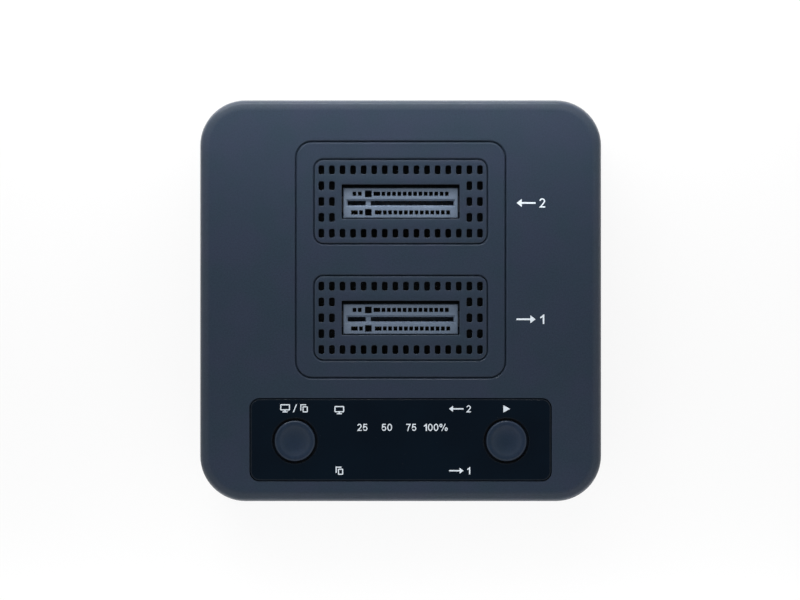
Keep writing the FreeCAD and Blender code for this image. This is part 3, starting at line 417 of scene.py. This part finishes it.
def turned(mesh, profile, centre):
    """Adds a closed solid turned about an upright axis, from a profile of radius, height points."""
    rings = []
    for radius, z in profile:
        ring = []
        for n in range(TURN_STEPS):
            angle = 2 * math.pi * n / TURN_STEPS
            x, y = centre[0] + radius * math.cos(angle), centre[1] + radius * math.sin(angle)
            ring.append(mesh.verts.new((x, y, z)))
        rings.append(ring)
    skin(mesh, rings)
    mesh.faces.new(rings[0][::-1]).smooth = True
    mesh.faces.new(rings[-1]).smooth = True


def slab(mesh, centre, side, low, high):
    """Adds a square block between two heights."""
    place = Matrix.Translation((centre[0], centre[1], (low + high) / 2))
    size = Matrix.Diagonal((side, side, high - low, 1.0))
    bmesh.ops.create_cube(mesh, size=1.0, matrix=place @ size)


def finished(mesh, name, sharp):
    """The mesh as data, smooth except at edges sharper than an angle in degrees."""
    bmesh.ops.recalc_face_normals(mesh, faces=mesh.faces)
    data = bpy.data.meshes.new(name)
    mesh.to_mesh(data)
    mesh.free()
    data.set_sharp_from_angle(angle=math.radians(sharp))
    return data


def quarter(radius, z, rim):
    """Points of a rounded outer rim, from the wall up to the top."""
    angles = [n / RIM_STEPS * math.pi / 2 for n in range(RIM_STEPS + 1)]
    return [(radius - rim * (1 - math.cos(a)), z - rim * (1 - math.sin(a))) for a in angles]


def rounded_loop(centre, width, depth, radius, steps):
    """Corner points of a rounded rectangle, anticlockwise."""
    points = []
    for turn, (side_x, side_y) in enumerate(((1, 1), (-1, 1), (-1, -1), (1, -1))):
        x = centre[0] + side_x * (width / 2 - radius)
        y = centre[1] + side_y * (depth / 2 - radius)
        for step in range(steps + 1):
            angle = (turn + step / steps) * math.pi / 2
            points.append((x + radius * math.cos(angle), y + radius * math.sin(angle)))
    return points


class Loop:
    """One rounded outline of a pierced plate: its edge, or a hole through it."""

    def __init__(self, centre, width, depth, radius, ease, steps, is_hole=True):
        self.centre = centre
        self.size = (width, depth, radius)
        self.ease = ease
        self.steps = steps
        self.is_hole = is_hole

    def at(self, reach):
        """The outline moved into the plate by a distance."""
        width, depth, radius = self.size
        move = reach if self.is_hole else -reach
        return rounded_loop(self.centre, width + 2 * move, depth + 2 * move, radius + move,
                            self.steps)


def plate_wall(mesh, loop, low, high):
    """Adds a loop's wall with its rounded upper rim. Returns its lowest and highest ring, and the
    highest ring's points."""
    rings = [[mesh.verts.new((x, y, low)) for x, y in loop.at(0.0)]]
    for step in range(EASE_STEPS + 1):
        angle = step / EASE_STEPS * math.pi / 2
        z = high - loop.ease * (1 - math.sin(angle))
        points = loop.at(loop.ease * (1 - math.cos(angle)))
        rings.append([mesh.verts.new((x, y, z)) for x, y in points])
    skin(mesh, rings, inward=loop.is_hole)
    return rings[0], rings[-1], points


def pierced_plate(name, loops, low, high):
    """A flat plate between two heights, whose upper rims are rounded off by each loop's ease."""
    mesh = bmesh.new()
    flat, edges, lower, upper, owners = [], [], [], [], []
    for loop in loops:
        bottom, top, points = plate_wall(mesh, loop, low, high)
        start, count = len(flat), len(points)
        flat += [Vector(point) for point in points]
        edges += [(start + n, start + (n + 1) % count) for n in range(count)]
        lower += bottom
        upper += top
        owners += [loop] * count
    _, _, triangles, origins, _, _ = delaunay_2d_cdt(flat, edges, [], KEEP_INSIDE, MERGE_DISTANCE)
    for triangle in triangles:
        corners = [origins[n][0] for n in triangle]
        touched = {owners[n] for n in corners}
        if len(touched) == 1 and touched.pop().is_hole:
            continue
        mesh.faces.new([upper[n] for n in corners])
        mesh.faces.new([lower[n] for n in reversed(corners)])
    return finished(mesh, name, PLATE_SHARP)


# ---------------------------------------------------------------- bezels
BEZEL_CORNER = 1.7 * MM
BEZEL_EASE = 0.25 * MM
BEZEL_STEPS = 8
HOLE_STEPS = 4
VENT_PITCH_X = 2.0 * MM
VENT_PITCH_Y = 3.0 * MM
VENT_COLUMNS = 16
VENT_ROWS = 5
VENT_W = 1.08 * MM
VENT_D = 1.68 * MM
VENT_CORNER = 0.36 * MM
VENT_EASE = 0.08 * MM
VENT_CLEAR = 0.6 * MM
OPENING_CORNER = 0.22 * MM
OPENING_EASE = 0.15 * MM
SOCKET_GAP_X = 0.25 * MM
SOCKET_GAP_FRONT = 0.12 * MM
SOCKET_GAP_REAR = 0.63 * MM


def bezel(bay):
    """The vented frame round a card socket, with softly rounded rims."""
    node = bay + "_bezel"
    low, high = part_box(node)
    socket_low, socket_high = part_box(bay + "_socket")
    centre = (low + high) / 2
    opening_w = socket_high.x - socket_low.x + 2 * SOCKET_GAP_X
    opening_d = socket_high.y - socket_low.y + SOCKET_GAP_FRONT + SOCKET_GAP_REAR
    loops = [Loop(centre, high.x - low.x, high.y - low.y, BEZEL_CORNER, BEZEL_EASE, BEZEL_STEPS,
                  is_hole=False),
             Loop(centre, opening_w, opening_d, OPENING_CORNER, OPENING_EASE, HOLE_STEPS)]
    for column in range(VENT_COLUMNS):
        x = (column - (VENT_COLUMNS - 1) / 2) * VENT_PITCH_X
        for row in range(VENT_ROWS):
            y = (row - (VENT_ROWS - 1) / 2) * VENT_PITCH_Y
            beside = abs(x) - VENT_W / 2 > opening_w / 2 + VENT_CLEAR
            beyond = abs(y) - VENT_D / 2 > opening_d / 2 + VENT_CLEAR
            if beside or beyond:
                place = (centre.x + x, centre.y + y)
                loops.append(Loop(place, VENT_W, VENT_D, VENT_CORNER, VENT_EASE, HOLE_STEPS))
    title = node + "_dressed"
    piece = new_piece(title, pierced_plate(title, loops, low.z, high.z), "case_plastic")
    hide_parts(node)


for bay_name in ("source", "target"):
    bezel(bay_name)


# ---------------------------------------------------------------- button caps
CAP_R = 3.83 * MM
CAP_RIM = 0.35 * MM
DISH_R = 3.05 * MM
DISH_DEPTH = 0.45 * MM
DISH_STEPS = 10
DISH_TIP_R = 0.02 * MM
FLANGE_T = 0.8 * MM
FLANGE_REACH = 1 * MM
STEM_SIDE = 2.6 * MM


def flange_top():
    """Height of the stop flanges' upper side, from the solid's points beside its cap."""
    centre = middle("mode_button")
    return max(v.co.z for v in NODES["mode_button"].data.vertices
               if abs(v.co.x - centre.x) > CAP_R + FLANGE_REACH)


def push_button(name):
    """A cap with a rolled rim and a finger dish, over its stop flange and stem."""
    low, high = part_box(name)
    centre = (low + high) / 2
    upper = flange_top()
    profile = [(CAP_R, upper)] + quarter(CAP_R, high.z, CAP_RIM)
    for n in range(DISH_STEPS + 1):
        share = 1 - n / DISH_STEPS
        profile.append((max(DISH_R * share, DISH_TIP_R), high.z - DISH_DEPTH * (1 - share ** 2)))
    mesh = bmesh.new()
    turned(mesh, profile, centre)
    slab(mesh, centre, high.x - low.x, upper - FLANGE_T, upper)
    slab(mesh, centre, STEM_SIDE, low.z, upper - FLANGE_T)
    title = name + "_dressed"
    piece = new_piece(title, finished(mesh, title, TURNED_SHARP), "button_plastic", name)
    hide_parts(name)


for button in ("mode_button", "start_button"):
    push_button(button)


# ---------------------------------------------------------------- feet
FOOT_RIM = 0.35 * MM
FOOT_RIM_STEPS = 4
SOLE_DISH = 0.25 * MM
SOLE_PROFILE = ((0.55, 1.0), (0.70, 0.5), (0.80, 0.0))  # shares of the radius and of the dish


def foot_radius():
    """Radius of one foot, from the corner foot's own points."""
    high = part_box("rubber_feet")[1]
    points = [v.co for v in NODES["rubber_feet"].data.vertices if v.co.x > 0 and v.co.y > 0]
    return (high.x - min(p.x for p in points)) / 2


def rubber_feet():
    """Stuck-on feet with a rounded rim and a shallow dish in the sole."""
    low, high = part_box("rubber_feet")
    radius = foot_radius()
    profile = [(radius * reach, low.z + SOLE_DISH * rise) for reach, rise in SOLE_PROFILE]
    for step in range(FOOT_RIM_STEPS + 1):
        angle = step / FOOT_RIM_STEPS * math.pi / 2
        profile.append((radius - FOOT_RIM * (1 - math.sin(angle)),
                        low.z + FOOT_RIM * (1 - math.cos(angle))))
    profile.append((radius, high.z))
    mesh = bmesh.new()
    for x in (low.x + radius, high.x - radius):
        for y in (low.y + radius, high.y - radius):
            turned(mesh, profile, (x, y))
    title = "rubber_feet_dressed"
    piece = new_piece(title, finished(mesh, title, TURNED_SHARP), "foot_rubber")
    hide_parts("rubber_feet")


rubber_feet()


# ---------------------------------------------------------------- printed marks
INK_T = 0.012 * MM


def filled_mesh(name, loops, unit):
    """A thin flat mesh from closed outlines in units. Inner outlines are holes."""
    curve = bpy.data.curves.new(name, "CURVE")
    curve.dimensions = "2D"
    curve.fill_mode = "BOTH"
    curve.extrude = INK_T / 2
    for loop in loops:
        spline = curve.splines.new("POLY")
        spline.points.add(len(loop) - 1)
        for point, (x, y) in zip(spline.points, loop):
            point.co = (x * unit, y * unit, 0.0, 1.0)
        spline.use_cyclic_u = True
    holder = bpy.data.objects.new(name + "_curve", curve)
    bpy.context.scene.collection.objects.link(holder)
    bpy.context.view_layer.update()
    graph = bpy.context.evaluated_depsgraph_get()
    mesh = bpy.data.meshes.new_from_object(holder.evaluated_get(graph))
    bpy.data.objects.remove(holder)
    bpy.data.curves.remove(curve)
    mesh.name = name
    mesh.materials.clear()
    return mesh


def drawn_mark(name, loops, x, y, z, unit, slot_name):
    """Prints a symbol on the surface at z, from closed outlines in units."""
    mesh = filled_mesh(name, loops, unit)
    mesh.transform(Matrix.Translation((x, y, z + INK_T / 2)))
    new_piece(name, mesh, slot_name, material=INK)


def ribbon(path, width):
    """Outline of a stroke of even width along a path of x, y points, with mitred corners."""
    points = [Vector(p) for p in path]
    runs = [(b - a).normalized() for a, b in zip(points, points[1:])]
    left, right = [], []
    for n, point in enumerate(points):
        before = runs[max(n - 1, 0)]
        after = runs[min(n, len(runs) - 1)]
        along = (before + after).normalized()
        across = Vector((-along.y, along.x))
        reach = width / 2 / across.dot(Vector((-after.y, after.x)))
        left.append(tuple(point + across * reach))
        right.append(tuple(point - across * reach))
    return left + right[::-1]


def arc(x, y, radius_x, radius_y, start, end, steps=14):
    """Points along part of an ellipse, between two angles in degrees."""
    points = []
    for n in range(steps + 1):
        angle = math.radians(start + (end - start) * n / steps)
        points.append((x + radius_x * math.cos(angle), y + radius_y * math.sin(angle)))
    return points


RING_POINTS = 24


def ring(x, y, radius_x, radius_y, line):
    """Outer and inner outline of a drawn ring."""
    last = 360 - 360 / RING_POINTS
    return [arc(x, y, radius_x - inset, radius_y - inset, 0, last, RING_POINTS - 1)
            for inset in (0.0, line)]


# Numbers, one unit high. Each figure has its width and its outlines, drawn round its centre.
NUMBER_LINE = 0.135
NUMBER_GAP = 0.13
PERCENT_RING_LINE = 0.13
PERCENT_BAR_LINE = 0.11

TWO = arc(0.0, 0.20, 0.235, 0.22, 172, -30) + [(0.06, -0.12), (-0.20, -0.417), (0.32, -0.417)]
FIVE = ([(0.27, 0.417), (-0.155, 0.417), (-0.215, -0.02)]
        + arc(0.0, -0.155, 0.245, 0.262, 128, -152))
SEVEN = [(-0.30, 0.417), (0.24, 0.417), (0.05, 0.08), (-0.10, -0.5)]
FIGURES = {
    "0": (0.66, ring(0.0, 0.0, 0.33, 0.5, NUMBER_LINE)),
    "1": (0.44, [[(0.05, -0.5), (0.22, -0.5), (0.22, 0.5), (0.10, 0.5), (-0.02, 0.35),
                  (-0.20, 0.25), (-0.20, 0.09), (0.05, 0.20)]]),
    "2": (0.64, [ribbon(TWO, NUMBER_LINE)]),
    "5": (0.66, [ribbon(FIVE, NUMBER_LINE)]),
    "7": (0.62, [ribbon(SEVEN, NUMBER_LINE)]),
    "%": (1.16, ring(-0.36, 0.25, 0.21, 0.25, PERCENT_RING_LINE)
          + ring(0.36, -0.25, 0.21, 0.25, PERCENT_RING_LINE)
          + [ribbon([(0.25, 0.5), (-0.25, -0.5)], PERCENT_BAR_LINE)]),
}


def number_loops(text, x=0.0):
    """Outlines of a number centred on x."""
    widths = [FIGURES[figure][0] for figure in text]
    left = x - (sum(widths) + NUMBER_GAP * (len(text) - 1)) / 2
    loops = []
    for figure, width in zip(text, widths):
        centre = left + width / 2
        loops += [[(px + centre, py) for px, py in loop] for loop in FIGURES[figure][1]]
        left += width + NUMBER_GAP
    return loops


# Symbols, about one unit high
FRAME_CORNER = 0.12
FRAME_INNER_CORNER = 0.02
FRAME_STEPS = 3
ARROW_HEAD_LENGTH = 0.55
ARROW_HEAD_HALF = 0.42
ARROW_SHAFT_HALF = 0.09
SIGN_ARROW_X = -0.60
SIGN_ARROW_LENGTH = 2.0
SIGN_NUMBER_X = 1.10


def frame_loops(x, y, width, height, line):
    """Outer and inner outline of a drawn frame."""
    return [rounded_loop((x, y), width, height, FRAME_CORNER, FRAME_STEPS),
            rounded_loop((x, y), width - 2 * line, height - 2 * line, FRAME_INNER_CORNER,
                         FRAME_STEPS)]


def box_loop(x0, x1, y0, y1):
    return [(x0, y0), (x1, y0), (x1, y1), (x0, y1)]


def monitor(x):
    """A screen on its stand."""
    return frame_loops(x, 0.14, 1.35, 0.86, 0.15) + [
        box_loop(x - 0.09, x + 0.09, -0.42, -0.29),
        box_loop(x - 0.36, x + 0.36, -0.56, -0.42)]


def two_sheets(x):
    """A sheet in front of another."""
    behind = [(x - 0.50, -0.30), (x - 0.36, -0.30), (x - 0.36, 0.42), (x + 0.30, 0.42),
              (x + 0.30, 0.56), (x - 0.50, 0.56)]
    return frame_loops(x + 0.17, -0.14, 0.72, 0.84, 0.14) + [behind]


def slash(x):
    return [[(x - 0.30, -0.55), (x - 0.14, -0.55), (x + 0.30, 0.55), (x + 0.14, 0.55)]]


def play(x):
    return [[(x - 0.42, -0.5), (x + 0.52, 0.0), (x - 0.42, 0.5)]]


def arrow(x, length, way):
    """A shafted arrow centred on x, pointing left (-1) or right (1)."""
    tip = x + way * length / 2
    neck = tip - way * ARROW_HEAD_LENGTH
    tail = x - way * length / 2
    upper = [(neck, ARROW_HEAD_HALF), (neck, ARROW_SHAFT_HALF), (tail, ARROW_SHAFT_HALF)]
    return [[(tip, 0.0)] + upper + [(px, -py) for px, py in reversed(upper)]]


def bay_sign(number, way):
    """An arrow into a bay (-1) or out of it (1), and the bay's number."""
    return arrow(SIGN_ARROW_X, SIGN_ARROW_LENGTH, way) + number_loops(number, SIGN_NUMBER_X)


def mode_sign():
    """Computer or copy, side by side."""
    return monitor(-1.35) + slash(0.0) + two_sheets(1.25)


# Places of the marks
LENS_MARK_H = 1.37 * MM
BAY_MARK_H = 1.8 * MM
LENS = middle("control_lens")
LENS_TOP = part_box("control_lens")[1].z
CASE_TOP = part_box("top_cover")[1].z
MODE = middle("mode_button")
START = middle("start_button")
ROW_REACH = 5.85 * MM
UPPER_ROW = LENS.y + ROW_REACH
LOWER_ROW = LENS.y - ROW_REACH
MODE_ROW = UPPER_ROW + 0.1 * MM
CONNECT_ROW = UPPER_ROW - 0.25 * MM
SCALE_NUMBERS = ("25", "50", "75", "100%")
SCALE_ROW = LENS.y + 2.35 * MM
SCALE_PITCH = 4.63 * MM
SCALE_START = -7.25 * MM
LEFT_COLUMN = MODE.x + 8.4 * MM
RIGHT_COLUMN = START.x - 8.65 * MM
BAY_MARK_X = 24.8 * MM


def lens_mark(name, loops, x, y):
    drawn_mark(name, loops, x, y, LENS_TOP, LENS_MARK_H, "lens_gloss")


def bay_mark(name, loops, bay):
    drawn_mark(name, loops, BAY_MARK_X, middle(bay + "_socket").y, CASE_TOP, BAY_MARK_H,
               "case_plastic")


for n, text in enumerate(SCALE_NUMBERS):
    lens_mark(f"scale_{n}", number_loops(text), SCALE_START + n * SCALE_PITCH, SCALE_ROW)
lens_mark("mode_mark", mode_sign(), MODE.x, MODE_ROW)
lens_mark("connect_mark", monitor(0.0), LEFT_COLUMN, CONNECT_ROW)
lens_mark("copy_mark", two_sheets(0.0), LEFT_COLUMN, LOWER_ROW)
lens_mark("start_mark", play(0.0), START.x, UPPER_ROW)
lens_mark("target_lamp_mark", bay_sign("2", -1), RIGHT_COLUMN, UPPER_ROW)
lens_mark("source_lamp_mark", bay_sign("1", 1), RIGHT_COLUMN, LOWER_ROW)
bay_mark("target_bay_mark", bay_sign("2", -1), "target")
bay_mark("source_bay_mark", bay_sign("1", 1), "source")


# ---------------------------------------------------------------- studio
WHITE = (1.0, 1.0, 1.0, 1.0)
SKY_TINT = (0.97, 0.99, 1.0, 1.0)
SKY = 0.52
ZENITH = 0.085
ZENITH_FADE = (0.80, 0.985)  # Z of the direction where the sky starts to darken, and where it ends
FLOOR_SIZE = 6.0
FLOOR_CLOUD = 60 * MM
FLOOR_TONES = (grey(0.80), grey(0.82))
BACKGROUND_SHARE = 0.88


def studio_world():
    """Even soft light, darker straight above, where the camera hangs. The camera sees white."""
    world = bpy.data.worlds.new("studio")
    bpy.context.scene.world = world
    world.use_nodes = True
    tree = world.node_tree
    tree.nodes.clear()
    place = tree.nodes.new("ShaderNodeTexCoord")
    split = tree.nodes.new("ShaderNodeSeparateXYZ")
    tree.links.new(place.outputs["Generated"], split.inputs[0])
    level = tree.nodes.new("ShaderNodeMapRange")
    level.interpolation_type = "SMOOTHSTEP"
    start, end = ZENITH_FADE
    ends = {"From Min": start, "From Max": end, "To Min": SKY, "To Max": ZENITH}
    for name, number in ends.items():
        level.inputs[name].default_value = number
    tree.links.new(split.outputs["Z"], level.inputs["Value"])
    sky = tree.nodes.new("ShaderNodeBackground")
    sky.inputs["Color"].default_value = SKY_TINT
    tree.links.new(level.outputs["Result"], sky.inputs["Strength"])
    seen = tree.nodes.new("ShaderNodeBackground")
    seen.inputs["Color"].default_value = WHITE
    ray = tree.nodes.new("ShaderNodeLightPath")
    mix = tree.nodes.new("ShaderNodeMixShader")
    tree.links.new(ray.outputs["Is Camera Ray"], mix.inputs["Fac"])
    tree.links.new(sky.outputs[0], mix.inputs[1])
    tree.links.new(seen.outputs[0], mix.inputs[2])
    tree.links.new(mix.outputs[0], tree.nodes.new("ShaderNodeOutputWorld").inputs["Surface"])


def studio_floor():
    """A white floor that glows to the camera and keeps the part's shadow."""
    mesh = bpy.data.meshes.new("floor")
    half = FLOOR_SIZE / 2
    corners = [(-half, -half, 0.0), (half, -half, 0.0), (half, half, 0.0), (-half, half, 0.0)]
    mesh.from_pydata(corners, [], [(0, 1, 2, 3)])
    floor = bpy.data.objects.new("floor", mesh)
    bpy.context.scene.collection.objects.link(floor)
    shader = Shader("floor_paint", Roughness=0.9, Specular_IOR_Level=0.1)
    shader.feed(shader.tint(shader.noise(FLOOR_CLOUD), *FLOOR_TONES), "Base Color")
    glow = shader.add("ShaderNodeEmission")
    mix = shader.add("ShaderNodeMixShader")
    seen = shader.add("ShaderNodeLightPath").outputs["Is Camera Ray"]
    shader.link(shader.calculate("MULTIPLY", seen, BACKGROUND_SHARE), mix.inputs["Fac"])
    shader.link(shader.surface.outputs["BSDF"], mix.inputs[1])
    shader.link(glow.outputs[0], mix.inputs[2])
    shader.link(mix.outputs[0], shader.end)
    mesh.materials.append(shader.material)


def area_lamp(name, size, energy, place, aim, **seen):
    """A rectangular lamp. The settings in seen say which kinds of ray meet it."""
    lamp = bpy.data.lights.new(name, "AREA")
    lamp.shape = "RECTANGLE"
    lamp.size, lamp.size_y = size
    lamp.energy = energy
    holder = bpy.data.objects.new(name, lamp)
    holder.location = place
    holder.rotation_euler = (Vector(aim) - holder.location).to_track_quat("-Z", "Y").to_euler()
    for setting, value in seen.items():
        setattr(holder, setting, value)
    bpy.context.scene.collection.objects.link(holder)


def softbox(name, azimuth, elevation, distance, size, level):
    """A large lamp aimed at the part. Level is how bright it alone would render a white top."""
    turn, rise = math.radians(azimuth), math.radians(elevation)
    way = Vector((math.sin(turn) * math.cos(rise), math.cos(turn) * math.cos(rise),
                  math.sin(rise)))
    aim = Vector((0.0, 0.0, CAD_HIGH.z))
    energy = level * (math.pi * distance) ** 2 / math.sin(rise)
    area_lamp(name, size, energy, aim + way * distance, aim, visible_glossy=False)


def strip_lamp(name, size, energy, place, aim, in_gloss=True):
    """A lamp close to the part, kept out of the picture."""
    area_lamp(name, size, energy, place, aim, visible_camera=False, visible_glossy=in_gloss)


def edge_lamps():
    """Low strips that light the top's rear and front edges, and lamps that whiten the floor."""
    top, rear, front = CAD_HIGH.z, CAD_HIGH.y, CAD_LOW.y
    strip_lamp("rear_strip", size=(0.15, 0.02), energy=0.056, in_gloss=False,
               place=(-0.005, rear + 0.020, top + 0.020), aim=(-0.005, rear - 0.012, top))
    strip_lamp("front_strip", size=(0.12, 0.02), energy=0.010, in_gloss=False,
               place=(0.0, front - 0.020, top + 0.015), aim=(0.0, front + 0.012, top))
    strip_lamp("rim_strip", size=(0.35, 0.03), energy=0.45,
               place=(-0.10, rear + 0.35, top + 0.030), aim=(0.0, rear, top))
    strip_lamp("rear_floor", size=(0.20, 0.06), energy=0.09,
               place=(0.0, rear + 0.05, 0.020), aim=(0.0, rear + 0.05, 0.0))
    strip_lamp("front_floor", size=(0.20, 0.06), energy=0.05,
               place=(0.0, front - 0.05, 0.020), aim=(0.0, front - 0.05, 0.0))


studio_world()
studio_floor()
softbox("rear_softbox", azimuth=-20, elevation=50, distance=0.60, size=(0.40, 0.30), level=0.25)
softbox("front_fill", azimuth=160, elevation=38, distance=0.70, size=(0.50, 0.40), level=0.065)
edge_lamps()


# ---------------------------------------------------------------- camera
CAMERA_HEIGHT = 0.75
SENSOR_WIDTH = 36.0
CASE_SHARE = 0.5023  # of the picture's width
OFF_CENTRE = (-0.0008, 0.0009)


def camera():
    """Straight above the part, with the case across half of the picture."""
    data = bpy.data.cameras.new("camera")
    data.sensor_width = SENSOR_WIDTH
    low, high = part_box("top_cover")
    data.lens = SENSOR_WIDTH * CAMERA_HEIGHT * CASE_SHARE / (high.x - low.x)
    data.shift_x, data.shift_y = OFF_CENTRE
    holder = bpy.data.objects.new("camera", data)
    holder.location = (0.0, 0.0, high.z + CAMERA_HEIGHT)
    bpy.context.scene.collection.objects.link(holder)
    bpy.context.scene.camera = holder


camera()
bpy.context.scene.view_settings.view_transform = "Standard"
